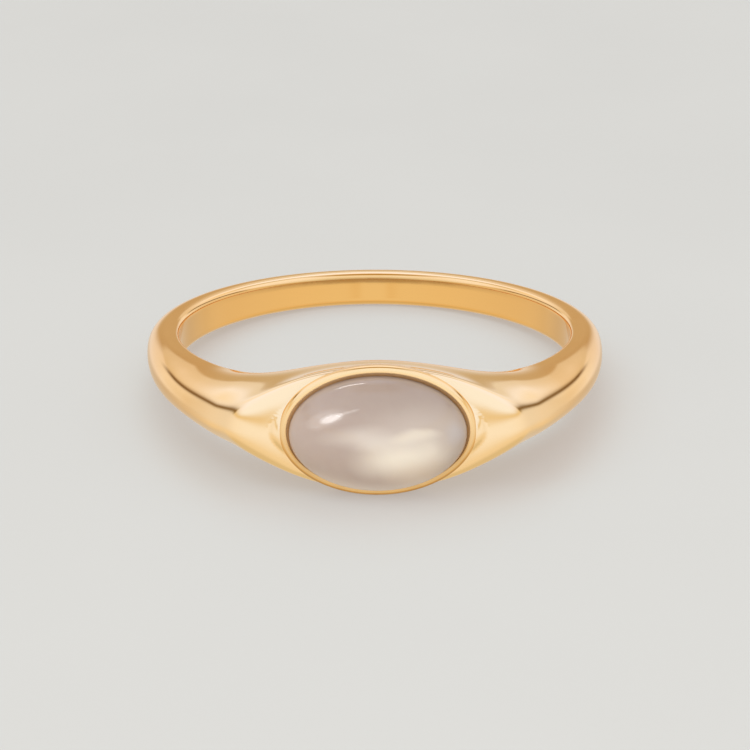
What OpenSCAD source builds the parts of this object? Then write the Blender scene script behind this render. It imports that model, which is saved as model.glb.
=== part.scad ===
// Moonstone ring: a solid gold band whose shoulders swell into an oval
// rub-over setting that holds a domed cabochon. Sizes are in millimetres.
// The ring is drawn about its own axis, with the head towards -Y, and is
// then tipped and lifted to lie on its side as it rests by itself.

/* [Finger hole] */
// Inside diameter of the band
finger_d = 17.3; // [16:0.1:19]

/* [Band] */
// Thickness of the band at the back
back_t = 1.2; // [1:0.05:1.6]
// Thickness of the band at its two sides
side_t = 1.4; // [1.1:0.05:1.8]
// Width of the band at the back
back_w = 1.58; // [1.3:0.02:2.2]
// Extra width that the band gains from the back to the head
taper_w = 0.5; // [0:0.05:1]
// Radius of the long arcs that the shoulders follow, seen along the hole
shoulder_r = 18; // [16:0.5:22]
// Fullness of the band's section, where 2 is an ellipse
band_power = 2.1; // [1.8:0.1:2.6]

/* [Head] */
// Distance from the centre of the hole to the rim of the setting
head_reach = 11.6; // [11.2:0.05:12]
// Height of the rim above the shoulders beside it
rim_rise = 0.25; // [0.15:0.05:0.4]
// Extra width of the band under the head, at the hole
flare_in_w = 1.95; // [1.6:0.05:2.2]
// Extra width of the band under the head, at its face
flare_out_w = 2.8; // [2.2:0.1:2.9]
// Angle either side of the head over which the width swells at the hole
flare_in_angle = 47; // [40:1:50]
// Angle either side of the head over which the width swells at the face
flare_out_angle = 50; // [44:1:56]
// Size of the hollow in which the shoulders blend into the setting
blend = 0.6; // [0.3:0.05:0.7]

/* [Setting] */
// Length of the oval rim, round the finger
rim_l = 8.2; // [7.8:0.05:8.6]
// Width of the oval rim, along the finger
rim_w = 5.66; // [5.4:0.02:5.9]
// Thickness of the rim's wall
rim_wall = 0.34; // [0.28:0.02:0.45]
// Depth of the seat below the rim
seat_depth = 0.9; // [0.8:0.05:1]

/* [Moonstone] */
// Height of the dome above the rim
dome_h = 1.45; // [1.1:0.05:1.8]
// Space between the stone and the setting
stone_gap = 0.03; // [0.02:0.01:0.06]

/* [Hidden] */
$fn = 128;

hole_r = finger_d / 2;
side_x = hole_r + side_t;
back_y = hole_r + back_t;
face_y = head_reach - rim_rise;

// How sharply the shoulder arcs turn into the flat face of the head
corner_power = 20;
// Share of the thickness that lies inside the widest line of a section
widest_share = 0.45;
// The edge of the hole is eased by this much
hole_edge = 0.12;
// How far a section runs inside the hole before the hole is bored
bore_stock = 0.5;
// Rounding between the setting's side and the flat face of the head
face_round = 0.15;

// The setting's root is an oval that grows longer than the rim just under
// it, by root_spread over a depth of about root_turn, and then draws in
root_spread = 3.6;
root_turn = 0.16;
root_draw = 0.93;
root_lip = 0.03;
// It starts this much narrower than the rim, and narrows more and more
root_step = 0.08;
root_lean = 0.15;
root_bow = 0.1;
root_depth = 4.5;

sections = 96;
// Sections stand closer together near the head, by up to this many degrees
crowding = 28;
section_steps = 24;
rim_sides = 96;
// Each point of a section is found by halving a range this many times
halvings = 15;
furthest = 8;

// Depth of the rim's strip, whose lower edge stands on the floor
rim_strip = 0.42;
// The rim: how much longer and wider it is at each depth below its top
rim_outside = [
    // depth, longer, wider
    [0.80, -0.80, -0.60],
    [0.50, -0.06, -0.10],
    [rim_strip, 0.00, 0.00],
    [0.06, 0.00, 0.00],
    [0.00, -0.10, -0.10],
];

stone_l = rim_l - 2 * (rim_wall + stone_gap);
stone_w = rim_w - 2 * (rim_wall + stone_gap);
pocket_l = rim_l - 2 * rim_wall;
pocket_w = rim_w - 2 * rim_wall;
girdle_h = seat_depth - stone_gap;
// The dome is the cap of a body this much larger than the stone's outline
dome_spread = 1.05;
// The dome's centre lies this far below the rim
dome_sink = 0.35;

// The ring lies on the lower edge of its rim and on the back of its band
foot_y = head_reach - rim_strip;
rest_y = hole_r + widest_share * back_t;
rest_tilt = atan((rim_w - back_w) / 2 / (foot_y + rest_y));
rest_lift = rim_w / 2 * cos(rest_tilt) - foot_y * sin(rest_tilt);
// It is moved along Y until the origin is under the middle of its length
dome_y = (head_reach - dome_sink) * cos(rest_tilt)
    + norm([(dome_h + dome_sink) * cos(rest_tilt), dome_spread * stone_w / 2 * sin(rest_tilt)]);
band_y = rest_y * cos(rest_tilt)
    + norm([(back_y - rest_y) * cos(rest_tilt), back_w / 2 * sin(rest_tilt)]);
rest_shift = (dome_y - band_y) / 2;

// Reach of the outline at an angle from the head: two long arcs cut by the
// flat face in front, and half an ellipse behind
arc_x = side_x - shoulder_r;
function arc_reach(a) = let (b = abs(sin(a)) * arc_x)
    b + sqrt(b * b - arc_x * arc_x + shoulder_r * shoulder_r);
function soft_min(p, q) =
    pow(pow(p, -corner_power) + pow(q, -corner_power), -1 / corner_power);
function outer_reach(a) = cos(a) > 0.02
    ? soft_min(arc_reach(a), face_y / cos(a))
    : cos(a) > 0 ? arc_reach(a)
    : 1 / sqrt(pow(sin(a) / side_x, 2) + pow(cos(a) / back_y, 2));

// Half the width at an angle from the head, which swells towards it
function swell(a, limit) = a < limit ? pow(cos(90 * a / limit), 2) : 0;
function half_width(a, flare, limit) =
    back_w / 2 + taper_w / 2 * (1 + cos(a)) / 2 + flare / 2 * swell(a, limit);

function thickness(a) = outer_reach(a) - hole_r;
function wide_r(a) = hole_r + widest_share * thickness(a);

// How far a point in the section at an angle lies outside the band, outside
// the setting's root, and outside both once they are blended
function from_band(a, r, h) = let (
    outside = wide_r(a) < r,
    outer_t = (1 - widest_share) * thickness(a),
    outer_h = half_width(a, flare_out_w, flare_out_angle),
    inner_h = half_width(a, flare_in_w, flare_in_angle),
    inward = (wide_r(a) - r) / (wide_r(a) - hole_r),
    across = outside ? (r - wide_r(a)) / outer_t : 0,
    up = h / (outside ? outer_h : outer_h - (outer_h - inner_h) * inward * inward)
) (pow(pow(across, band_power) + pow(up, band_power), 1 / band_power) - 1)
    * min(outer_h, outer_t);
function from_root(a, r, h) = let (
    depth = head_reach - r * cos(a),
    down = min(depth, root_depth),
    grown = root_spread * (1 - exp(-max(0, depth - rim_rise + root_lip) / root_turn)),
    half_l = (rim_l + grown - root_draw * down) / 2,
    half_w = (rim_w - root_step - root_lean * down - root_bow * down * down) / 2
) soft_max((norm([r * sin(a) / half_l, h / half_w]) - 1) * half_w, rim_rise - depth, face_round);
function soft_max(p, q, size) = let (t = max(0, min(1, 0.5 + (p - q) / size / 2)))
    q * (1 - t) + p * t + size * t * (1 - t);
function from_body(a, r, h) = a > 60
    ? from_band(a, r, h)
    : -soft_max(-from_band(a, r, h), -from_root(a, r, h), blend);

// Distance from the section's middle at radius r to its edge in a direction,
// found by halving the range that holds the edge
function edge(a, r, step, low = 0, high = furthest, left = halvings) =
    left == 0 ? (low + high) / 2
    : let (middle = (low + high) / 2)
        from_body(a, r + step[0] * middle, step[1] * middle) < 0
        ? edge(a, r, step, middle, high, left - 1)
        : edge(a, r, step, low, middle, left - 1);

// One section as [reach, height] pairs, from the hole's lower edge, round
// the outside and back inside the hole
function section(a) = let (
    middle_r = wide_r(a),
    near_r = (hole_r + middle_r) / 2,
    inner_r = hole_r + hole_edge,
    near_h = edge(a, near_r, [0, 1]),
    inner_h = edge(a, inner_r, [0, 1]),
    outer = [for (i = [0 : section_steps / 2]) let (
        t = 180 * i / section_steps,
        d = edge(a, middle_r, [cos(t), sin(t)])
    ) [middle_r + d * cos(t), d * sin(t)]],
    half = [
        each outer,
        [near_r, near_h],
        [inner_r, inner_h],
        [hole_r - bore_stock, inner_h - hole_edge - bore_stock],
    ]
) [
    for (i = [len(half) - 1 : -1 : 1]) [half[i][0], -half[i][1]],
    each half,
];

// Skins a list of sections that all have the same number of points, either
// joined end to end or closed with a flat face at each end. The triangles
// are a mirror image on each side of the middle of the list and of a section
module skin(rings, joined) {
    n = len(rings[0]);
    count = len(rings);
    polyhedron(
        points = [for (ring = rings) each ring],
        faces = [
            for (i = [0 : joined ? count - 1 : count - 2], j = [0 : n - 1]) let (
                p = i * n + j,
                q = i * n + (j + 1) % n,
                r = (i + 1) % count * n + (j + 1) % n,
                s = (i + 1) % count * n + j
            ) each (i < count / 2) == (2 * j < n - 1) ? [[p, q, r], [p, r, s]] : [[p, q, s], [q, r, s]],
            if (!joined) [for (j = [n - 1 : -1 : 0]) j],
            if (!joined) [for (j = [0 : n - 1]) (count - 1) * n + j],
        ]
    );
}

module body_blank() {
    skin([for (i = [0 : sections - 1]) let (
        even = 360 * i / sections,
        turn = even - crowding * sin(even),
        a = turn > 180 ? 360 - turn : turn
    ) [for (p = section(a)) [p[0] * sin(turn), -p[0] * cos(turn), p[1]]]], true);
}

// Stands a shape drawn upwards on the head, with z = 0 at the rim
module on_head() {
    translate([0, -head_reach, 0]) rotate([90, 0, 0]) children();
}

module rim_blank() {
    on_head() skin([for (row = rim_outside) [
        for (i = [0 : rim_sides - 1]) let (t = -360 * (i + 0.5) / rim_sides)
            [(rim_l + row[1]) / 2 * cos(t), (rim_w + row[2]) / 2 * sin(t), -row[0]]
    ]], false);
}

module stone_seat() {
    on_head() translate([0, 0, -seat_depth]) scale([1, pocket_w / pocket_l, 1])
        cylinder(d = pocket_l, h = seat_depth + 1);
}

module at_rest() {
    translate([0, rest_shift, rest_lift]) rotate([-rest_tilt, 0, 0]) children();
}

module ring_body() {
    color([0.93, 0.74, 0.45]) at_rest() difference() {
        union() {
            body_blank();
            rim_blank();
        }
        cylinder(r = hole_r, h = 4 * rim_w, center = true);
        stone_seat();
    }
}

module moonstone() {
    color([0.78, 0.74, 0.71]) at_rest() on_head() intersection() {
        translate([0, 0, -girdle_h]) scale([1, stone_w / stone_l, 1])
            cylinder(d = stone_l, h = girdle_h + dome_h + 1);
        translate([0, 0, -dome_sink])
            scale([dome_spread * stone_l, dome_spread * stone_w, 2 * (dome_h + dome_sink)])
            sphere(d = 1);
    }
}

ring_body();
moonstone();
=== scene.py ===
import math

import bpy
import numpy as np
from mathutils import Euler, Matrix, Vector


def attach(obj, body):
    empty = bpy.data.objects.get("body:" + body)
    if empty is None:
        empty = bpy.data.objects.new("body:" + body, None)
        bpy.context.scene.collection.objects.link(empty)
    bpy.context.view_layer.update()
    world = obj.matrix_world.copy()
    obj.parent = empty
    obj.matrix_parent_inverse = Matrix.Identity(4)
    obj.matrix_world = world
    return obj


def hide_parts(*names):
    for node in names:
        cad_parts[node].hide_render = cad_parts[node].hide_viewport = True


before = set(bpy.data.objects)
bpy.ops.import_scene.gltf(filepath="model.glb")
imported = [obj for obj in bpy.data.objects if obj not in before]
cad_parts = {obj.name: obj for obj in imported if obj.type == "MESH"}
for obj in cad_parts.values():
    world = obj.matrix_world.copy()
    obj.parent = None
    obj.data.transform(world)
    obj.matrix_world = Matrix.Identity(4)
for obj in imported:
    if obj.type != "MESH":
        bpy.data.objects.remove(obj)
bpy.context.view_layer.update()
print("frame loaded")

mm = 0.001


# 0 up to start, 1 from start + width on, and straight in between
def ramp(x, start, width):
    return np.clip((x - start) / width, 0, 1)


# A hump that is 1 at zero and fades over width, with a flatter top for a higher power
def hump(x, width, power=2):
    return np.exp(-(x / width) ** power)


# The larger of two numbers, with the corner between them rounded over size
def softMax(p, q, size):
    t = np.clip(0.5 + (p - q) / size / 2, 0, 1)
    return q * (1 - t) + p * t + size * t * (1 - t)


# how the ring lies: it is drawn about its own axis, head towards -Y, then tipped by degrees and moved by mm
lying = {"tilt": 5.71895, "forward": 1.59889, "lift": 1.70184}


# Turns points about X by the tilt, moves them to the floor and changes mm to metres
def layDown(points):
    c, s = math.cos(math.radians(lying["tilt"])), math.sin(math.radians(lying["tilt"]))
    x, y, z = points[..., 0], points[..., 1], points[..., 2]
    return np.stack([x, c * y + s * z + lying["forward"], c * z - s * y + lying["lift"]], -1) * mm


# Joins a grid of points (rows, columns, 3) with quads, closing each direction that is asked for, and ends
# given as single points with triangles. A layer is a number for each point, and the UV map holds two
def gridMesh(name, points, closeRows, closeColumns, poles=(), uv=None, layers=None):
    rows, columns = points.shape[:2]
    index = np.arange(rows * columns).reshape(rows, columns)
    a = np.concatenate([index, index[:1]]) if closeRows else index
    if closeColumns:
        a = np.concatenate([a, a[:, :1]], 1)
    quads = np.stack([a[:-1, :-1], a[:-1, 1:], a[1:, 1:], a[1:, :-1]], -1).reshape(-1, 4)
    everything = points.reshape(-1, 3)
    fans = []
    for n, (row, pole) in enumerate(poles):
        ring, tip = a[row], np.full(len(a[row]) - 1, rows * columns + n)
        fan = [ring[1:], ring[:-1], tip] if row == 0 else [ring[:-1], ring[1:], tip]
        fans.append(np.stack(fan, -1))
        everything = np.vstack([everything, pole])
    fans = np.concatenate(fans) if fans else np.zeros((0, 3), int)
    # the volume's sign says whether the faces point outwards
    corners = everything[np.concatenate([quads[:, [0, 1, 2]], quads[:, [0, 2, 3]], fans])]
    if np.einsum("ij,ij->i", corners[:, 0], np.cross(corners[:, 1], corners[:, 2])).sum() < 0:
        quads, fans = quads[:, ::-1], fans[:, ::-1]
    mesh = bpy.data.meshes.new(name)
    mesh.vertices.add(len(everything))
    mesh.vertices.foreach_set("co", everything.astype(np.float32).ravel())
    loops = np.concatenate([quads.ravel(), fans.ravel()])
    mesh.loops.add(len(loops))
    mesh.loops.foreach_set("vertex_index", loops.astype(np.int32))
    starts = np.concatenate([np.arange(len(quads)) * 4, len(quads) * 4 + np.arange(len(fans)) * 3])
    mesh.polygons.add(len(starts))
    mesh.polygons.foreach_set("loop_start", starts.astype(np.int32))
    mesh.update(calc_edges=True)
    mesh.shade_smooth()
    if uv is not None:
        places = mesh.uv_layers.new(name="surface")
        places.data.foreach_set("uv", uv[loops].astype(np.float32).ravel())
    for layer, numbers in (layers or {}).items():
        mesh.attributes.new(layer, "FLOAT", "POINT").data.foreach_set("value", numbers.astype(np.float32))
    mesh.validate()
    return mesh


def makePiece(name, mesh, node, material):
    piece = bpy.data.objects.new(name, mesh)
    bpy.context.scene.collection.objects.link(piece)
    mesh.materials.append(material)
    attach(piece, "root")
    if node:
        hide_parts(node)
    return piece


# One socket of a material's nodes. Python's operators add the Math nodes
class Signal:
    def __init__(self, recipe, socket):
        self.recipe, self.socket = recipe, socket

    def math(self, operation, *others):
        return self.recipe.node("ShaderNodeMath", {"operation": operation}, [self, *others])

    def __add__(self, other):
        return self.math("ADD", other)

    def __sub__(self, other):
        return self.math("SUBTRACT", other)

    def __mul__(self, other):
        return self.math("MULTIPLY", other)

    def __truediv__(self, other):
        return self.math("DIVIDE", other)

    # the reflected forms, for a number on the left
    def __rsub__(self, other):
        return self.recipe.node("ShaderNodeMath", {"operation": "SUBTRACT"}, [other, self])

    def __rtruediv__(self, other):
        return self.recipe.node("ShaderNodeMath", {"operation": "DIVIDE"}, [other, self])

    __radd__, __rmul__ = __add__, __mul__

    def clamped(self):
        return self.recipe.node("ShaderNodeClamp", {}, {"Value": self})

    # 0 below low and 1 above high, with soft ends
    def rise(self, low, high):
        return self.recipe.node("ShaderNodeMapRange", {"interpolation_type": "SMOOTHSTEP"},
                                {"Value": self, "From Min": low, "From Max": high})


# A material or a world and its nodes
class Recipe:
    def __init__(self, owner):
        self.owner = owner
        owner.use_nodes = True
        self.tree = owner.node_tree
        self.tree.nodes.clear()

    # Adds a node of a type, with its settings, such as a ramp's stops, and the values or links of its sockets
    def node(self, kind, settings=None, inputs=None, output=0):
        made = self.tree.nodes.new(kind)
        for key, value in (settings or {}).items():
            if key == "stops":
                for n, (place, colour) in enumerate(value):
                    stop = made.color_ramp.elements[n] if n < 2 else made.color_ramp.elements.new(place)
                    stop.position, stop.color = place, (*colour, 1)
            else:
                setattr(made, key, value)
        pairs = inputs.items() if isinstance(inputs, dict) else enumerate(inputs or ())
        for key, value in pairs:
            if isinstance(value, Signal):
                self.tree.links.new(value.socket, made.inputs[key])
            else:
                made.inputs[key].default_value = value
        return Signal(self, made.outputs[output]) if len(made.outputs) else None

    # Mixes two colours by a number from 0 to 1
    def mix(self, amount, first, second):
        first, second = (c if isinstance(c, Signal) else (*c, 1) for c in (first, second))
        return self.node("ShaderNodeMix", {"data_type": "RGBA"}, {0: amount, 6: first, 7: second}, 2)

    # A noise pattern's value, about 0.5 on average
    def noise(self, vector, scale, detail=2.0, roughness=0.5, distortion=0.0):
        return self.node("ShaderNodeTexNoise", {}, {"Vector": vector, "Scale": scale, "Detail": detail,
                                                    "Roughness": roughness, "Distortion": distortion})

    # The x, y and z of a vector
    def split(self, vector):
        parts = self.node("ShaderNodeSeparateXYZ", {}, [vector]).socket.node.outputs
        return [Signal(self, socket) for socket in parts]

    # A point's place on the object, in metres
    def objectPlace(self):
        return self.node("ShaderNodeTexCoord", output=3)

    def finish(self, kind, shader):
        self.node(kind, {}, {"Surface": shader})
        return self.owner


# the band and its shoulders, in mm and in degrees from the head
bandShape = {
    "holeRadius": 8.65, "sideThickness": 1.4, "backThickness": 1.2, "backWidth": 1.58, "widerAtHead": 0.5,
    "shoulderRadius": 18.0, "cornerSharpness": 20.0,
    # fullness of the section, where 2 is an ellipse, and what it gains beside the head and at it
    "fullness": 2.1, "fullerAside": 0.17, "fullerAtHead": -0.3, "fullerSpread": 21.6,
    # share of the thickness inside the section's widest line, and what it gains in the same places
    "widestShare": 0.45, "widestAside": -0.09, "widestAtHead": -0.18, "widestSpread": 42.0,
    "asideAngle": 50.0, "asideSpread": 16.0,
    # extra width under the head at the hole and at the face
    "flareInside": 2.17, "flareInsideSpread": 22.1, "flareOutside": 2.315, "flareOutsideAngle": 53.5,
    # how much further the width falls towards the hole, and the rounding of the hole's edge
    "crown": 0.04, "edgeRounding": 0.2, "backRounding": 0.06,
    # the grid: sections, how far they crowd towards the head, and steps along each part of a section
    "turns": 480, "crowding": 0.5, "rays": 62, "innerSteps": 14, "edgeSteps": 6, "wallSteps": 9,
    "patternRadius": 10.0}  # the UV map's mm along the band for each radian
# the setting's root, an oval that blends into the shoulders, in mm
settingShape = {
    "headReach": 11.6, "rimRise": 0.25, "rimLength": 8.2, "rimWidth": 5.66, "faceRounding": 0.15,
    "blend": 0.74,
    # just above the face the root starts to grow longer by spread, and further down it draws in
    "lip": 0.03, "spread": 3.8, "spreadDepth": 0.16, "draw": 0.93, "rootDepth": 4.5,
    # it is narrower than the rim by step, by lean times its depth and by bow times its depth squared
    "step": 0.224, "lean": 0.2, "bow": 0.14, "ovalPower": 2.02,
    # the seat, and how far inside the rim's outline and how near its top the face is sunk to it
    "seatDepth": 0.9, "sinkInset": 0.21, "sinkAbove": 0.45}


# Angle from the head, from 0 to 180 degrees
def headAngle(turn):
    return np.degrees(np.arccos(np.cos(turn)))


# Reach of the outline from the hole's centre: two long arcs cut by the head's flat face in front, and half an
# ellipse behind
def outlineReach(turn):
    s, c = np.abs(np.sin(turn)), np.cos(turn)
    sideX = bandShape["holeRadius"] + bandShape["sideThickness"]
    backY = bandShape["holeRadius"] + bandShape["backThickness"]
    arcX = sideX - bandShape["shoulderRadius"]
    arc = s * arcX + np.sqrt((s * arcX) ** 2 - arcX**2 + bandShape["shoulderRadius"] ** 2)
    nearSide = 0.02  # below this cosine the flat face is too far off to cut the arcs
    face = (settingShape["headReach"] - settingShape["rimRise"]) / np.maximum(c, nearSide)
    power = bandShape["cornerSharpness"]
    front = (arc**-power + face**-power) ** (-1 / power)
    back = 1 / np.sqrt((s / sideX) ** 2 + (c / backY) ** 2)
    return np.where(c > nearSide, front, np.where(c > 0, arc, back))


# Half the band's width outside and at the hole: a slow taper, swollen at the head by a squared cosine outside
# and by a hump at the hole
def halfWidths(angle):
    plain = bandShape["backWidth"] / 2 + bandShape["widerAtHead"] * (1 + np.cos(np.radians(angle))) / 4
    limit = bandShape["flareOutsideAngle"]
    swell = np.where(angle < limit, np.cos(np.radians(90 * angle / limit)) ** 2, 0)
    bell = hump(angle, bandShape["flareInsideSpread"])
    return plain + bandShape["flareOutside"] / 2 * swell, plain + bandShape["flareInside"] / 2 * bell


# How far a point of the section at a turn is outside the band: the section is an ellipse-like curve, the sum
# of two powers, fuller or slimmer beside the head and at it, and it narrows towards the hole
def outsideBand(turn, r, h):
    hole, angle = bandShape["holeRadius"], headAngle(turn)
    aside = hump(angle - bandShape["asideAngle"], bandShape["asideSpread"])
    share = (bandShape["widestShare"] + bandShape["widestAside"] * aside
             + bandShape["widestAtHead"] * hump(angle, bandShape["widestSpread"], 4))
    power = (bandShape["fullness"] + bandShape["fullerAside"] * aside
             + bandShape["fullerAtHead"] * hump(angle, bandShape["fullerSpread"], 4))
    thick = outlineReach(turn) - hole
    widest, outerT = hole + share * thick, (1 - share) * thick
    outerH, innerH = halfWidths(angle)
    inward = (widest - r) / (widest - hole)
    across = np.maximum(r - widest, 0) / outerT
    fall = outerH - innerH + bandShape["crown"]
    up = np.abs(h) / np.where(r > widest, outerH, outerH - fall * inward**2)
    return ((across**power + up**power) ** (1 / power) - 1) * np.minimum(outerH, outerT)


# How far it is outside the setting's root: an oval that changes with depth below the rim, under a flat face
def outsideRoot(turn, r, h):
    depth = settingShape["headReach"] - r * np.cos(turn)
    down = np.minimum(depth, settingShape["rootDepth"])
    under = np.maximum(depth - settingShape["rimRise"] + settingShape["lip"], 0)
    grown = settingShape["spread"] * (1 - np.exp(-under / settingShape["spreadDepth"]))
    halfL = (settingShape["rimLength"] + grown - settingShape["draw"] * down) / 2
    halfW = (settingShape["rimWidth"] - settingShape["step"]
             - settingShape["lean"] * down - settingShape["bow"] * down**2) / 2
    power = settingShape["ovalPower"]
    across, up = np.abs(r * np.sin(turn) / halfL), np.abs(h / halfW)
    oval = ((across**power + up**power) ** (1 / power) - 1) * halfW
    return softMax(oval, settingShape["rimRise"] - depth, settingShape["faceRounding"])


# How far it is outside the body, which is the band and the root with a hollow between them. The root counts
# only on the head's side of the ring
def outsideBody(turn, r, h):
    headSide, farOff = 0.5, 9.0
    root = np.where(np.cos(turn) > headSide, outsideRoot(turn, r, h), farOff)
    return -softMax(-outsideBand(turn, r, h), -root, settingShape["blend"])


# Distance from radius r in the section to its edge along a direction, by halving the range that holds it
def findEdge(turn, r, outward, upward):
    furthest, halvings = 8.0, 34
    low, high = np.zeros_like(turn + r), np.full_like(turn + r, furthest)
    for _ in range(halvings):
        middle = (low + high) / 2
        inside = outsideBody(turn, r + outward * middle, upward * middle) < 0
        low, high = np.where(inside, middle, low), np.where(inside, high, middle)
    return (low + high) / 2


# The face with the part inside the rim sunk to the seat. The wall round that part is hidden in the rim's
def sinkToSeat(points):
    inset, reach = settingShape["sinkInset"], settingShape["headReach"]
    inOval = np.hypot(points[..., 0] / (settingShape["rimLength"] / 2 - inset),
                      points[..., 2] / (settingShape["rimWidth"] / 2 - inset)) < 1
    onFace = points[..., 1] < settingShape["sinkAbove"] - reach
    y = np.where(inOval & onFace, settingShape["seatDepth"] - reach, points[..., 1])
    return np.stack([points[..., 0], y, points[..., 2]], -1)


# where the band's tones lie and how strong they are: distances in mm from the edge of the hole, a ramp as its
# start and width, and a power of how far round the back a place is
bandTones = {
    # wear along the hole's edges, with a painted sheen
    "wornSpread": 0.16, "wornFrom": 0.06,
    # painted reflection: the wall of the hole takes a deeper tone for the metal it mirrors across from it,
    # most of all at the back
    "wallFade": 0.05, "wallAtHead": 0.15,
    # painted shade: darker metal at the foot of the rim, and a thin dark line along the back's upper inner
    # edge, a painted dark reflection
    "footSpread": 0.12, "footDepth": 1.0, "foot": 0.05,
    "lineDrop": 0.02, "lineSpread": 0.1, "lineReach": 0.19, "linePower": 12, "line": 2.0,
    # a painted highlight, brighter towards the setting, away from the hole, and on top of the back
    "headFrom": (0.7, 0.2), "headOut": (0.6, 0.9), "backPower": 8, "backOut": (0.12, 0.1), "back": 0.8,
    # painted shade: a deeper tone at the sides, in degrees from the head
    "deepAngle": 72.0, "deepSpread": 18.0, "deepOut": (0.6, 0.3)}


# The band's tones at its points, as products of ramps and humps. edgeHeight is the height of the hole's edge
def bandLayers(points, turn, r, h, edgeHeight):
    atBack = (1 - np.cos(turn)) / 2
    offHole, belowEdge = r - bandShape["holeRadius"], edgeHeight - np.abs(h)
    wornAndSheen = hump(np.hypot(offHole, belowEdge), bandTones["wornSpread"])
    wornAndSheen = wornAndSheen * ramp(offHole, 0, bandTones["wornFrom"])
    alongBack = bandTones["wallAtHead"] + (1 - bandTones["wallAtHead"]) * atBack
    # painted reflection on the hole's wall
    inside = (1 - ramp(offHole, 0, bandTones["wallFade"])) * alongBack
    oval = np.hypot(points[..., 0] * settingShape["rimWidth"] / settingShape["rimLength"], points[..., 2])
    # painted shade at the foot of the rim
    foot = hump(oval - settingShape["rimWidth"] / 2, bandTones["footSpread"])
    foot = foot * (points[..., 1] < bandTones["footDepth"] - settingShape["headReach"])
    # painted dark reflection along the back's upper inner edge
    line = hump(belowEdge - bandTones["lineDrop"], bandTones["lineSpread"]) * atBack ** bandTones["linePower"]
    line = line * (offHole < bandTones["lineReach"]) * (h > 0)
    # painted highlight towards the setting and on top of the back
    head = ramp(np.cos(turn), *bandTones["headFrom"]) * ramp(offHole, *bandTones["headOut"])
    back = atBack ** bandTones["backPower"] * ramp(offHole, *bandTones["backOut"])
    # painted shade at the sides
    deepShade = hump(headAngle(turn) - bandTones["deepAngle"], bandTones["deepSpread"])
    return {"wornAndSheen": wornAndSheen, "paintedShade": foot * bandTones["foot"] + line * bandTones["line"], "inside": inside,
            "paintedHighlight": head + back * bandTones["back"], "deepShade": deepShade * ramp(offHole, *bandTones["deepOut"])}


# The band with its shoulders: each row is the closed outline of one section. Rays find its outer side, and
# heights over the radius its inner side, whose edge drops by a quarter circle to the hole's straight wall
def bandSurface():
    even = np.linspace(0, 2 * np.pi, bandShape["turns"], endpoint=False)
    turn = (even - bandShape["crowding"] * np.sin(even))[:, None]
    hole, atBack = bandShape["holeRadius"], (1 - np.cos(turn)) / 2
    edge = bandShape["edgeRounding"] + bandShape["backRounding"] * atBack**2
    widest = hole + bandShape["widestShare"] * (outlineReach(turn) - hole)
    ray = np.linspace(0, np.pi / 2, bandShape["rays"])[None]
    reach = findEdge(turn, widest, np.cos(ray), np.sin(ray))
    outerR, outerH = widest + reach * np.cos(ray), reach * np.sin(ray)
    inward = np.linspace(0, 1, bandShape["innerSteps"] + 1)[None, 1:]
    bend = np.linspace(0, np.pi / 2, bandShape["edgeSteps"] + 1)[None, 1:]
    radii = np.hstack([widest + (hole + edge - widest) * inward, hole + edge * (1 - np.sin(bend))])
    drop = np.hstack([np.zeros((len(turn), bandShape["innerSteps"])), edge * (1 - np.cos(bend))])
    heights = findEdge(turn, radii, 0.0, 1.0) - drop
    wall = heights[:, -1:] * np.linspace(1, -1, bandShape["wallSteps"] + 2)[None, 1:-1]
    r = np.hstack([outerR, radii, np.full_like(wall, hole), radii[:, ::-1], outerR[:, :0:-1]])
    h = np.hstack([outerH, heights, wall, -heights[:, ::-1], -outerH[:, :0:-1]])
    points = sinkToSeat(np.stack([r * np.sin(turn), -r * np.cos(turn), h], -1))
    along = np.repeat(turn * bandShape["patternRadius"], points.shape[1], 1)
    steps = np.linalg.norm(np.diff(points, axis=1), axis=-1)
    around = np.hstack([np.zeros((len(turn), 1)), np.cumsum(steps, 1)])
    layers = bandLayers(points, turn, r, h, heights[:, -1:])
    return points, np.stack([along, around], -1).reshape(-1, 2), {k: v.ravel() for k, v in layers.items()}


# the rim's profile, as pairs of a depth below its top and an inset from its outline: a rounded outer edge, a
# lip that leans over the stone, the wall inside it, and an outer side that slopes gently into the shoulders
rimShape = {
    "sides": 360, "edgeDrop": 0.2, "edgeInset": 0.15, "edgeSteps": 10, "patternRadius": 3.5,
    "lip": [(0.0, 0.23), (0.005, 0.27), (0.016, 0.3), (0.035, 0.325), (0.06, 0.36), (0.092, 0.405),
            (0.125, 0.445), (0.15, 0.47), (0.165, 0.48), (0.29, 0.475), (0.36, 0.4), (0.42, 0.27)],
    "wall": [(0.5, 0.25), (0.92, 0.25), (1.0, 0.5), (1.95, 0.6)],
    "slope": [(1.9, 0.46), (1.6, 0.365), (1.35, 0.29), (1.15, 0.23), (1.0, 0.186), (0.85, 0.143),
              (0.72, 0.108), (0.6, 0.076), (0.5, 0.05), (0.42, 0.031), (0.35, 0.018), (0.28, 0.008),
              (0.21, 0.002)]}
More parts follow.
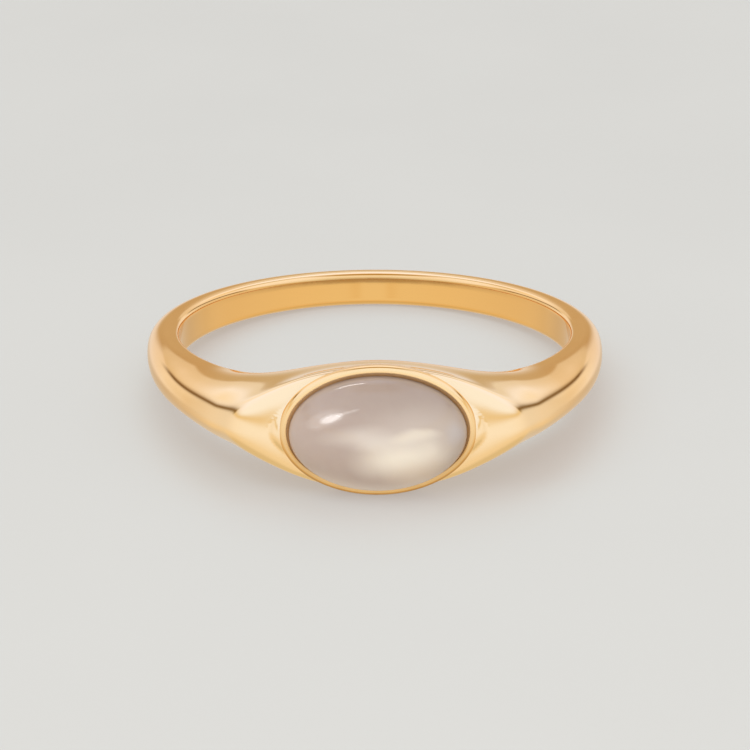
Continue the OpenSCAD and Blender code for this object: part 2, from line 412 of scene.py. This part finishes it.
# where the rim's tones lie and how strong they are: depths and insets in mm, a ramp as its start and width
rimTones = {
    # ramps over the sine of the angle round the oval, upwards and downwards
    "upper": (-0.5, 1.0), "lowest": (0.55, 0.35),
    # wear along the lip, with a painted sheen that is stronger on the upper side
    "wornInset": 0.16, "wornSpread": 0.12, "wornDepth": 0.12, "lowerShare": 0.3,
    # the rim's outer side, between its top edge and the shoulders
    "sideFrom": (0.03, 0.1), "sideTo": (0.45, 0.25), "sideInset": 0.2,
    # painted highlight: paler at the top of the lip and on the slope
    "topDepth": 0.1, "top": 0.5, "slopeInset": 0.47, "slopeFrom": (0.45, 0.3), "slopeTo": (1.45, 0.9),
    # painted shade: deeper on the rim's outer side and all along its lower part
    "deepSide": 0.7, "deepUpper": 0.1, "deepLower": 2.2,
    # painted shade: darker where the lip falls to the stone, a painted shadow on the lowest part of the outer
    # side, and painted shade along the lower lip
    "creaseDepth": 0.12, "creaseSpread": 0.04, "creaseInset": 0.3, "crease": 0.25,
    "underFrom": (0.02, 0.06), "underInset": 0.12, "under": 1.5,
    "lipDepth": 0.15, "lipInset": 0.35, "lip": 0.5}


# The rim's tones at its points, as products of ramps and humps
def rimLayers(t, depth, inset):
    upper, lowest = ramp(np.sin(t), *rimTones["upper"]), ramp(-np.sin(t), *rimTones["lowest"])
    # wear with a painted sheen, weaker on the lower side
    wornAndSheen = hump(inset - rimTones["wornInset"], rimTones["wornSpread"]) * (depth < rimTones["wornDepth"])
    wornAndSheen = wornAndSheen * (rimTones["lowerShare"] + (1 - rimTones["lowerShare"]) * upper)
    side = ramp(depth, *rimTones["sideFrom"]) * (1 - ramp(depth, *rimTones["sideTo"]))
    side = side * (inset < rimTones["sideInset"])
    # painted highlight on the lip's top and on the slope
    paintedHighlight = (depth < rimTones["topDepth"]) * (1 - side) * upper * rimTones["top"]
    slope = ramp(depth, *rimTones["slopeFrom"]) * (1 - ramp(depth, *rimTones["slopeTo"]))
    paintedHighlight = paintedHighlight + slope * (inset < rimTones["slopeInset"])
    # painted shade on the outer side and the lower part
    deepShade = side * (rimTones["deepSide"] + (rimTones["deepUpper"] - rimTones["deepSide"]) * upper)
    deepShade = deepShade + (1 - upper) * rimTones["deepLower"]
    # painted shade at the crease, painted shadow on the lowest outer side, and painted shade along the lower
    # lip
    crease = hump(depth - rimTones["creaseDepth"], rimTones["creaseSpread"])
    crease = crease * (inset > rimTones["creaseInset"])
    under = ramp(depth, *rimTones["underFrom"]) * (inset < rimTones["underInset"]) * lowest
    lip = (1 - upper) ** 2 * (depth < rimTones["lipDepth"]) * (inset < rimTones["lipInset"])
    paintedShade = crease * rimTones["crease"] + under * rimTones["under"] + lip * rimTones["lip"]
    return {"wornAndSheen": wornAndSheen, "paintedShade": paintedShade, "paintedHighlight": paintedHighlight, "deepShade": deepShade}


# The rim: its closed profile carried round the oval
def rimSurface():
    t = np.linspace(0, 2 * np.pi, rimShape["sides"], endpoint=False)[None]
    bend = np.linspace(0, np.pi / 2, rimShape["edgeSteps"])
    edge = np.stack([rimShape["edgeDrop"] * (1 - np.sin(bend)),
                     rimShape["edgeInset"] * (1 - np.cos(bend))], -1)
    profile = np.concatenate([edge, rimShape["lip"], rimShape["wall"], rimShape["slope"]])
    depth, inset = profile[:, :1], profile[:, 1:]
    points = np.stack([(settingShape["rimLength"] / 2 - inset) * np.cos(t),
                       depth - settingShape["headReach"] + 0 * t,
                       (settingShape["rimWidth"] / 2 - inset) * np.sin(t)], -1)
    around = np.concatenate([[0], np.cumsum(np.hypot(*np.diff(profile, axis=0).T))])[:, None] + 0 * t
    uv = np.stack([t * rimShape["patternRadius"] + 0 * depth, around], -1).reshape(-1, 2)
    return points, uv, {k: v.ravel() for k, v in rimLayers(t, depth, inset).items()}


# the stone: an oval dome, as high as given above the rim, with a steep foot and a flat base, set a little low
stoneShape = {
    "length": 7.38, "width": 4.94, "rise": 1.45, "sink": 0.08, "base": 0.87, "lower": 0.09,
    "sides": 256, "rings": 72,
    # under the dome, pairs of a share of the outline's size and a height above the base
    "girdle": [(1.0, 0.57), (1.0, 0.05), (0.985, 0.015), (0.95, 0.0), (0.6, 0.0)]}


# The stone: ovals that shrink by the cosine of an angle while they rise by its sine, with the girdle's below
def stoneSurface():
    t = np.linspace(0, 2 * np.pi, stoneShape["sides"], endpoint=False)[None]
    lift = np.linspace(np.pi / 2, 0, stoneShape["rings"], endpoint=False)[1:, None]
    girdle = np.array(stoneShape["girdle"])
    dome = stoneShape["sink"] - (stoneShape["rise"] + stoneShape["sink"]) * np.sin(lift)
    share = np.concatenate([np.cos(lift), girdle[:, :1]])
    depth = np.concatenate([dome, stoneShape["base"] - girdle[:, 1:]])
    x = share * stoneShape["length"] / 2 * np.cos(t)
    z = share * stoneShape["width"] / 2 * np.sin(t) - stoneShape["lower"]
    points = np.stack([x, depth - settingShape["headReach"] + 0 * t, z], -1)
    tips = np.array([[0, -settingShape["headReach"] - stoneShape["rise"], -stoneShape["lower"]],
                     [0, stoneShape["base"] - settingShape["headReach"], -stoneShape["lower"]]])
    uv = np.stack([share * np.cos(t), share * np.sin(t)], -1).reshape(-1, 2)
    return points, tips, np.vstack([uv, [[0, 0], [0, 0]]])


# the tint and the clouds are scaled in waves per metre, and the marks in waves per mm before the stretch
goldFinish = {
    "light": (1.0, 0.725, 0.39), "warm": (0.97, 0.67, 0.33), "tintScale": 260.0, "tintRange": (0.35, 0.65),
    "deepShade": (0.84, 0.55, 0.24), "deepShadeAmount": 0.6, "paintedHighlight": (1.0, 0.83, 0.58), "inside": (0.85, 0.53, 0.19),
    "wornAndSheen": (1.0, 0.79, 0.46), "wornAndSheenAmount": 0.6, "paintedShade": (0.42, 0.24, 0.08), "paintedShadeAmount": 0.75,
    "paintedShadeEven": 0.35, "cloudScale": 900.0, "cloudBump": 0.4,
    "markStretch": (0.5, 9.0, 1.0), "markScale": 2.2, "markRange": (0.55, 0.8),
    "roughness": 0.08, "cloudsRougher": 0.06, "marksRougher": 0.05, "wornRougher": 0.03, "paintedShadeRougher": 0.12,
    "scratches": 0.012, "scratchDepth": 0.00005}


# Polished gold: slow changes of tint, cloudy polish, hairline marks along the surface, and the pieces' tones,
# which paint shade, highlights and reflections
def polishedGold():
    recipe = Recipe(bpy.data.materials.new("gold"))
    place = recipe.objectPlace()
    along = recipe.node("ShaderNodeUVMap", {"uv_map": "surface"})
    wornAndSheen, paintedShade, inside, paintedHighlight, deepShade = (recipe.node("ShaderNodeAttribute", {"attribute_name": layer}, output=2)
                                       for layer in ("wornAndSheen", "paintedShade", "inside", "paintedHighlight", "deepShade"))
    tint = recipe.noise(place, goldFinish["tintScale"]).rise(*goldFinish["tintRange"])
    clouds = recipe.noise(place, goldFinish["cloudScale"], detail=4.0, roughness=0.6)
    stretched = recipe.node("ShaderNodeMapping", {}, {"Vector": along, "Scale": goldFinish["markStretch"]})
    marks = recipe.noise(stretched, goldFinish["markScale"], detail=5.0, roughness=0.7)
    # painted shade, broken up a little by the clouds
    shadeMarks = (paintedShade * (clouds + goldFinish["paintedShadeEven"])).clamped()
    colour = recipe.mix(tint, goldFinish["warm"], goldFinish["light"])
    colour = recipe.mix(deepShade * goldFinish["deepShadeAmount"], colour, goldFinish["deepShade"])
    colour = recipe.mix(paintedHighlight, colour, goldFinish["paintedHighlight"])
    colour = recipe.mix(inside, colour, goldFinish["inside"])
    colour = recipe.mix(wornAndSheen * goldFinish["wornAndSheenAmount"], colour, goldFinish["wornAndSheen"])
    colour = recipe.mix(shadeMarks * goldFinish["paintedShadeAmount"], colour, goldFinish["paintedShade"])
    rough = goldFinish["roughness"] + (clouds - 0.5) * goldFinish["cloudsRougher"]
    rough = rough + marks.rise(*goldFinish["markRange"]) * goldFinish["marksRougher"]
    rough = rough + wornAndSheen * goldFinish["wornRougher"] + paintedShade * goldFinish["paintedShadeRougher"]
    bump = recipe.node("ShaderNodeBump", {}, {
        "Strength": goldFinish["scratches"], "Distance": goldFinish["scratchDepth"],
        "Height": marks + clouds * goldFinish["cloudBump"]})
    surface = recipe.node("ShaderNodeBsdfPrincipled", {}, {
        "Base Color": colour, "Metallic": 1.0, "Roughness": rough, "Normal": bump})
    return recipe.finish("ShaderNodeOutputMaterial", surface)


# places on the stone are shares of its half length and half width, from its middle
moonFinish = {
    "milk": (0.455, 0.362, 0.315), "glow": (0.94, 0.87, 0.74), "veil": (0.71, 0.64, 0.57),
    "warm": (0.70, 0.56, 0.43), "blue": (0.60, 0.59, 0.62), "shade": (0.37, 0.30, 0.26),
    "edge": (0.95, 0.85, 0.73), "shadeFrom": (0.2, 0.85), "shadeAmount": 0.6,
    # soft oval patches: the middle's two places, the two half sizes, and a strength
    "rightVeil": (0.55, 0.25, 0.95, 0.75, 0.5), "middleVeil": (-0.1, 0.1, 0.62, 0.28, 0.8),
    "mainGlow": (0.3, -0.28, 0.75, 0.56, 0.82), "smallGlow": (0.42, 0.13, 0.36, 0.16, 0.5),
    "warmFoot": (0.45, -0.62, 0.6, 0.45, 0.5), "coolGleam": (0.86, 0.1, 0.16, 0.3, 0.4),
    "patchEdge": (0.1, 1.0), "wander": 0.25, "hazeScale": 420.0, "hazeDistortion": 0.6,
    "fineScale": 1600.0, "fineTone": 0.12, "fineLevel": 0.03, "fineRougher": 0.04,
    "thinLower": (0.45, 1.0), "thinOuter": (0.6, 1.0), "thinAmount": 0.6,
    "roughness": 0.05, "index": 1.53, "scatter": 0.35, "scatterDepth": 0.0006, "scatterTint": (1.0, 0.8, 0.6)}


# Moonstone: a milky body with a painted off-centre glow inside, curved veils, a warm lower side, a painted
# cool gleam at one side, and painted light where gold shows through its thin lower edge
def milkyMoonstone():
    recipe = Recipe(bpy.data.materials.new("moonstone"))
    place = recipe.objectPlace()
    u, v, _ = recipe.split(recipe.node("ShaderNodeUVMap", {"uv_map": "surface"}))
    haze = recipe.noise(place, moonFinish["hazeScale"], detail=3.0, distortion=moonFinish["hazeDistortion"])
    fine = recipe.noise(place, moonFinish["fineScale"])
    pushed = (haze - 0.5) * moonFinish["wander"]

    # Lays a tone on in a soft oval patch, full in the middle, whose edge is pushed about by the haze
    def lay(patch, tone, colour):
        x, y, wide, high, amount = moonFinish[patch]
        across, up = (u - x + pushed) / wide, (v - y + pushed) / high
        spot = 1 - (across * across + up * up).math("SQRT").rise(*moonFinish["patchEdge"])
        return recipe.mix(spot * amount, colour, moonFinish[tone])

    colour = lay("rightVeil", "veil", moonFinish["milk"])
    shade = v.rise(*moonFinish["shadeFrom"]) * moonFinish["shadeAmount"]
    colour = recipe.mix(shade, colour, moonFinish["shade"])
    for patch, tone in (("middleVeil", "veil"), ("mainGlow", "glow"), ("smallGlow", "glow"),
                        ("warmFoot", "warm"), ("coolGleam", "blue")):
        colour = lay(patch, tone, colour)
    specks = (fine - 0.5) * moonFinish["fineTone"] + moonFinish["fineLevel"]
    colour = recipe.mix(specks, colour, moonFinish["veil"])
    # painted light: the lower outer part is made paler, standing in for light through the thin edge
    radius, lower = (u * u + v * v).math("SQRT"), (v * -1.0).rise(*moonFinish["thinLower"])
    thin = lower * radius.rise(*moonFinish["thinOuter"])
    colour = recipe.mix(thin * moonFinish["thinAmount"], colour, moonFinish["edge"])
    rough = moonFinish["roughness"] + (fine - 0.5) * moonFinish["fineRougher"]
    surface = recipe.node("ShaderNodeBsdfPrincipled", {}, {
        "Base Color": colour, "Roughness": rough, "IOR": moonFinish["index"],
        "Subsurface Weight": moonFinish["scatter"], "Subsurface Scale": moonFinish["scatterDepth"],
        "Subsurface Radius": moonFinish["scatterTint"]})
    return recipe.finish("ShaderNodeOutputMaterial", surface)


gold, moonstone = polishedGold(), milkyMoonstone()
print("materials made")

points, uv, layers = bandSurface()
band = gridMesh("band", layDown(points), True, True, uv=uv, layers=layers)
makePiece("band", band, "ring_body", gold)
points, uv, layers = rimSurface()
rim = gridMesh("rim", layDown(points), True, True, uv=uv, layers=layers)
makePiece("rim", rim, None, gold)
print("band and rim made")

points, tips, uv = stoneSurface()
top, base = layDown(tips)
dome = gridMesh("stone", layDown(points), False, True, poles=((0, top), (len(points) - 1, base)), uv=uv)
stone = makePiece("stone", dome, "moonstone", moonstone)
print("moonstone made")

# the camera, where the photograph was taken from, in mm and degrees
cameraPlace = {"location": (-1.756, -146.331, 65.873), "turn": (66.098, -0.014, -0.68), "lens": 174.57}
camera = bpy.data.objects.new("camera", bpy.data.cameras.new("camera"))
bpy.context.scene.collection.objects.link(camera)
bpy.context.scene.camera = camera
camera.location = [v * mm for v in cameraPlace["location"]]
camera.rotation_euler = Euler([math.radians(v) for v in cameraPlace["turn"]])
camera.data.lens = cameraPlace["lens"]
camera.data.clip_start, camera.data.clip_end = 0.005, 5

# the floor: half its length in mm, and its tone at the back as a share of the tone in front, painted shade
# for light that falls off towards the back
floorLook = {"colour": (0.248, 0.25, 0.243), "half": 420.0, "steps": 60, "backShare": 0.93,
             "backFrom": (-0.05, 0.055), "grainScale": 60.0, "grainRange": (0.35, 0.65), "grainShare": 1.03,
             "grainAmount": 0.15, "roughness": 0.6}


# The floor: a flat grid, paler in front by painted light that falls off towards the back, with a faint grain
def paleFloor():
    half = floorLook["half"] * mm
    across = np.linspace(-half, half, floorLook["steps"])
    x, y = np.meshgrid(across, across, indexing="ij")
    mesh = gridMesh("floor", np.stack([x, y, 0 * x], -1), False, False)
    recipe = Recipe(bpy.data.materials.new("paleFloor"))
    place, tone = recipe.objectPlace(), floorLook["colour"]
    towardsBack = recipe.split(place)[1].rise(*floorLook["backFrom"])
    grain = recipe.noise(place, floorLook["grainScale"], detail=3.0).rise(*floorLook["grainRange"])
    # painted shade: darker towards the back
    colour = recipe.mix(towardsBack, tone, [c * floorLook["backShare"] for c in tone])
    colour = recipe.mix(grain * floorLook["grainAmount"], colour, [c * floorLook["grainShare"] for c in tone])
    surface = recipe.node("ShaderNodeBsdfPrincipled", {}, {
        "Base Color": colour, "Roughness": floorLook["roughness"], "Specular IOR Level": 0.0})
    floor = bpy.data.objects.new("floor", mesh)
    bpy.context.scene.collection.objects.link(floor)
    mesh.materials.append(recipe.finish("ShaderNodeOutputMaterial", surface))
    floor.visible_glossy = False  # the gold mirrors the sky's pale cards there instead
    return floor


# lights that only the stone sees: the direction of one end and of the other, each as a side (negative on the
# left) and a height, then a width, all in degrees, and a radiance
stoneLights = {
    "core": ((-40.0, 16.0), (-26.0, 26.0), 10.0, 5.0), "middle": ((-43.0, 15.0), (-24.0, 28.0), 15.0, 3.0),
    "halo": ((-55.0, 9.0), (-24.0, 29.5), 24.0, 1.1), "haze": ((-61.0, 6.0), (-20.0, 32.0), 33.0, 0.9),
    "tail": ((-30.0, 24.0), (-13.0, 36.0), 4.5, 2.5), "streak": ((-130.0, 53.0), (-162.0, 69.0), 4.5, 9.0)}
lightDistance = 300 * mm
# sun lights that only the floor sees: side, height and softness in degrees, strength, colour, and whether the
# ring casts a shadow in it. The cool lights cast the shadows, which makes them warm
floorSuns = {
    "fill": (0.0, 80.0, 60.0, 5.9, (1.0, 0.91, 0.875), False),
    "behind": (180.0, 57.0, 45.0, 1.0, (0.5, 0.88, 1.0), True),
    "left": (-75.0, 55.0, 40.0, 0.75, (0.5, 0.88, 1.0), True)}


# Unit vector to a side, measured from the front with the left negative, and a height, both in degrees
def direction(side, height):
    a, e = math.radians(side), math.radians(height)
    return Vector((math.sin(a) * math.cos(e), -math.cos(a) * math.cos(e), math.sin(e)))


# An oval light far off, long from one direction to another. Its power is its radiance times pi times its area
def makeLight(name, start, end, width, radiance, receivers):
    first, last = direction(*start) * lightDistance, direction(*end) * lightDistance
    towards, along = (first + last).normalized(), (last - first).normalized()
    data = bpy.data.lights.new(name, "AREA")
    data.shape, data.size, data.size_y = "ELLIPSE", (last - first).length, math.radians(width) * lightDistance
    data.energy = radiance * math.pi * math.pi / 4 * data.size * data.size_y
    light = bpy.data.objects.new(name, data)
    bpy.context.scene.collection.objects.link(light)
    light.location = towards * lightDistance
    light.rotation_euler = Matrix((along, towards.cross(along), towards)).transposed().to_euler()
    light.light_linking.receiver_collection = receivers


# A sun light for the floor alone. Its shadows are the ring's, or none where only the floor may block it
def makeSun(name, side, height, softness, strength, colour, shadows, floorOnly):
    data = bpy.data.lights.new(name, "SUN")
    data.energy, data.angle, data.color = strength, math.radians(softness), colour
    light = bpy.data.objects.new(name, data)
    bpy.context.scene.collection.objects.link(light)
    light.rotation_euler = direction(side, height).to_track_quat("Z", "Y").to_euler()
    light.light_linking.receiver_collection = floorOnly
    if not shadows:
        light.light_linking.blocker_collection = floorOnly


# the sky that the gold mirrors: pale cards round the ring up to a height that changes with the side, a dark
# gap above them and soft light above that. Angles are in radians, and a side is 0 in front and pi behind
skyTones = {
    "cards": ((0.0, (1.0, 0.93, 0.84)), (1.0, (0.80, 0.71, 0.63)), (0.25, (0.98, 0.88, 0.75)),
              (0.5, (0.91, 0.80, 0.67)), (0.67, (0.85, 0.75, 0.63)), (0.77, (1.0, 0.94, 0.90)),
              (0.85, (0.96, 0.87, 0.81)), (0.93, (0.84, 0.75, 0.68))),
    "low": (0.91, 0.73, 0.48), "under": (0.74, 0.58, 0.34), "lowBack": (0.70, 0.60, 0.48),
    "brown": (0.60, 0.43, 0.24), "gap": (0.19, 0.10, 0.02), "tan": (0.83, 0.62, 0.32),
    "nearGap": (0.92, 0.82, 0.74), "softLight": (1.02, 1.0, 1.08), "dimLight": (0.83, 0.71, 0.56),
    "frontLight": (1.0, 0.99, 1.0), "warmBack": (0.98, 0.86, 0.71), "besideBack": (0.68, 0.58, 0.45),
    "backLight": (1.08, 1.08, 1.25), "overhead": (0.53, 0.33, 0.10)}
# between which two sides and which two heights each tone comes in, or between which two depths below level
skySides = {
    "lowBack": (1.8, 2.5), "brown": (2.7, 2.95), "dimLight": (1.9, 2.6), "frontLight": (0.7, 1.3),
    "warmBack": (2.0, 2.4), "besideBack": (2.25, 2.45), "backLight": (2.65, 2.85),
    "tan": (0.1, 0.22), "tanEnd": (1.7, 2.1), "gap": (1.4, 1.75), "gapEnd": (2.48, 2.62)}
skyHeights = {
    "brown": (-0.12, 0.11), "dimLight": (0.25, 0.5), "warmBack": (0.4, 0.62), "besideBack": (0.66, 0.8),
    "backLight": (0.42, 0.55), "overhead": (1.12, 1.4)}
skyDepths = {"low": (0.28, 0.62), "under": (0.6, 0.9), "lowBack": (0.2, 0.4)}
# the gap: its peak's height and side, and by how much it falls towards the front and towards the back, as a
# times x plus b times x squared up to a reach. Heights above the gap say where the light starts
skyGap = {
    "peak": 0.49, "peakSide": 1.80, "front": (0.108, 0.163, 1.7), "back": (0.15, 0.258, 0.75), "width": 0.08,
    "tanAmount": 0.9, "gapAmount": 0.95, "lightFrom": (-0.02, 0.03), "softFrom": (0.03, 0.3)}


# The sky's colour by side and height: cards, the gap that peaks at the sides and falls towards the front and
# the back, and soft light that is dimmer just above the gap at the back
def studioSky():
    world = bpy.data.worlds.new("studio")
    bpy.context.scene.world = world
    recipe = Recipe(world)
    x, y, z = recipe.split(recipe.node("ShaderNodeTexCoord", output=0))
    side, height = x.math("ABSOLUTE").math("ARCTAN2", y * -1.0), z.math("ARCSINE")
    sides = {tone: side.rise(*limits) for tone, limits in skySides.items()}
    heights = {tone: height.rise(*limits) for tone, limits in skyHeights.items()}
    depths = {tone: (height * -1.0).rise(*limits) for tone, limits in skyDepths.items()}
    above = height - skyGap["peak"]
    for away, fall in ((skyGap["peakSide"] - side, "front"), (side - skyGap["peakSide"], "back")):
        slope, bend, reach = skyGap[fall]
        away = away.math("MAXIMUM", 0.0).math("MINIMUM", reach)
        above = above + away * slope + away * away * bend
    cards = recipe.node("ShaderNodeValToRGB", {"stops": skyTones["cards"]}, [side * (1 / math.pi)])
    cards = recipe.mix(depths["low"], cards, skyTones["low"])
    cards = recipe.mix(depths["under"], cards, skyTones["under"])
    cards = recipe.mix(sides["lowBack"] * depths["lowBack"], cards, skyTones["lowBack"])
    cards = recipe.mix(sides["brown"] * heights["brown"], cards, skyTones["brown"])
    light = recipe.mix(above.rise(*skyGap["softFrom"]), skyTones["nearGap"], skyTones["softLight"])
    light = recipe.mix(sides["dimLight"] * (1.0 - heights["dimLight"]), light, skyTones["dimLight"])
    light = recipe.mix(sides["frontLight"], skyTones["frontLight"], light)
    for tone in ("warmBack", "besideBack", "backLight"):
        light = recipe.mix(sides[tone] * heights[tone], light, skyTones[tone])
    colour = recipe.mix(above.rise(*skyGap["lightFrom"]), cards, light)
    dark = (above * above * (-1 / skyGap["width"] ** 2)).math("EXPONENT")
    tan = dark * sides["tan"] * (1.0 - sides["tanEnd"]) * skyGap["tanAmount"]
    gap = dark * sides["gap"] * (1.0 - sides["gapEnd"]) * skyGap["gapAmount"]
    colour = recipe.mix(gap, recipe.mix(tan, colour, skyTones["tan"]), skyTones["gap"])
    colour = recipe.mix(heights["overhead"], colour, skyTones["overhead"])
    shade = recipe.node("ShaderNodeBackground", {}, {"Color": colour, "Strength": 1.0})
    recipe.finish("ShaderNodeOutputWorld", shade)


floor = paleFloor()
studioSky()
stoneOnly, floorOnly = bpy.data.collections.new("stoneOnly"), bpy.data.collections.new("floorOnly")
stoneOnly.objects.link(stone)
floorOnly.objects.link(floor)
for name, values in stoneLights.items():
    makeLight(name, *values, stoneOnly)
for name, values in floorSuns.items():
    makeSun(name, *values, floorOnly)
bpy.context.scene.view_settings.view_transform = "Standard"
print("studio made")
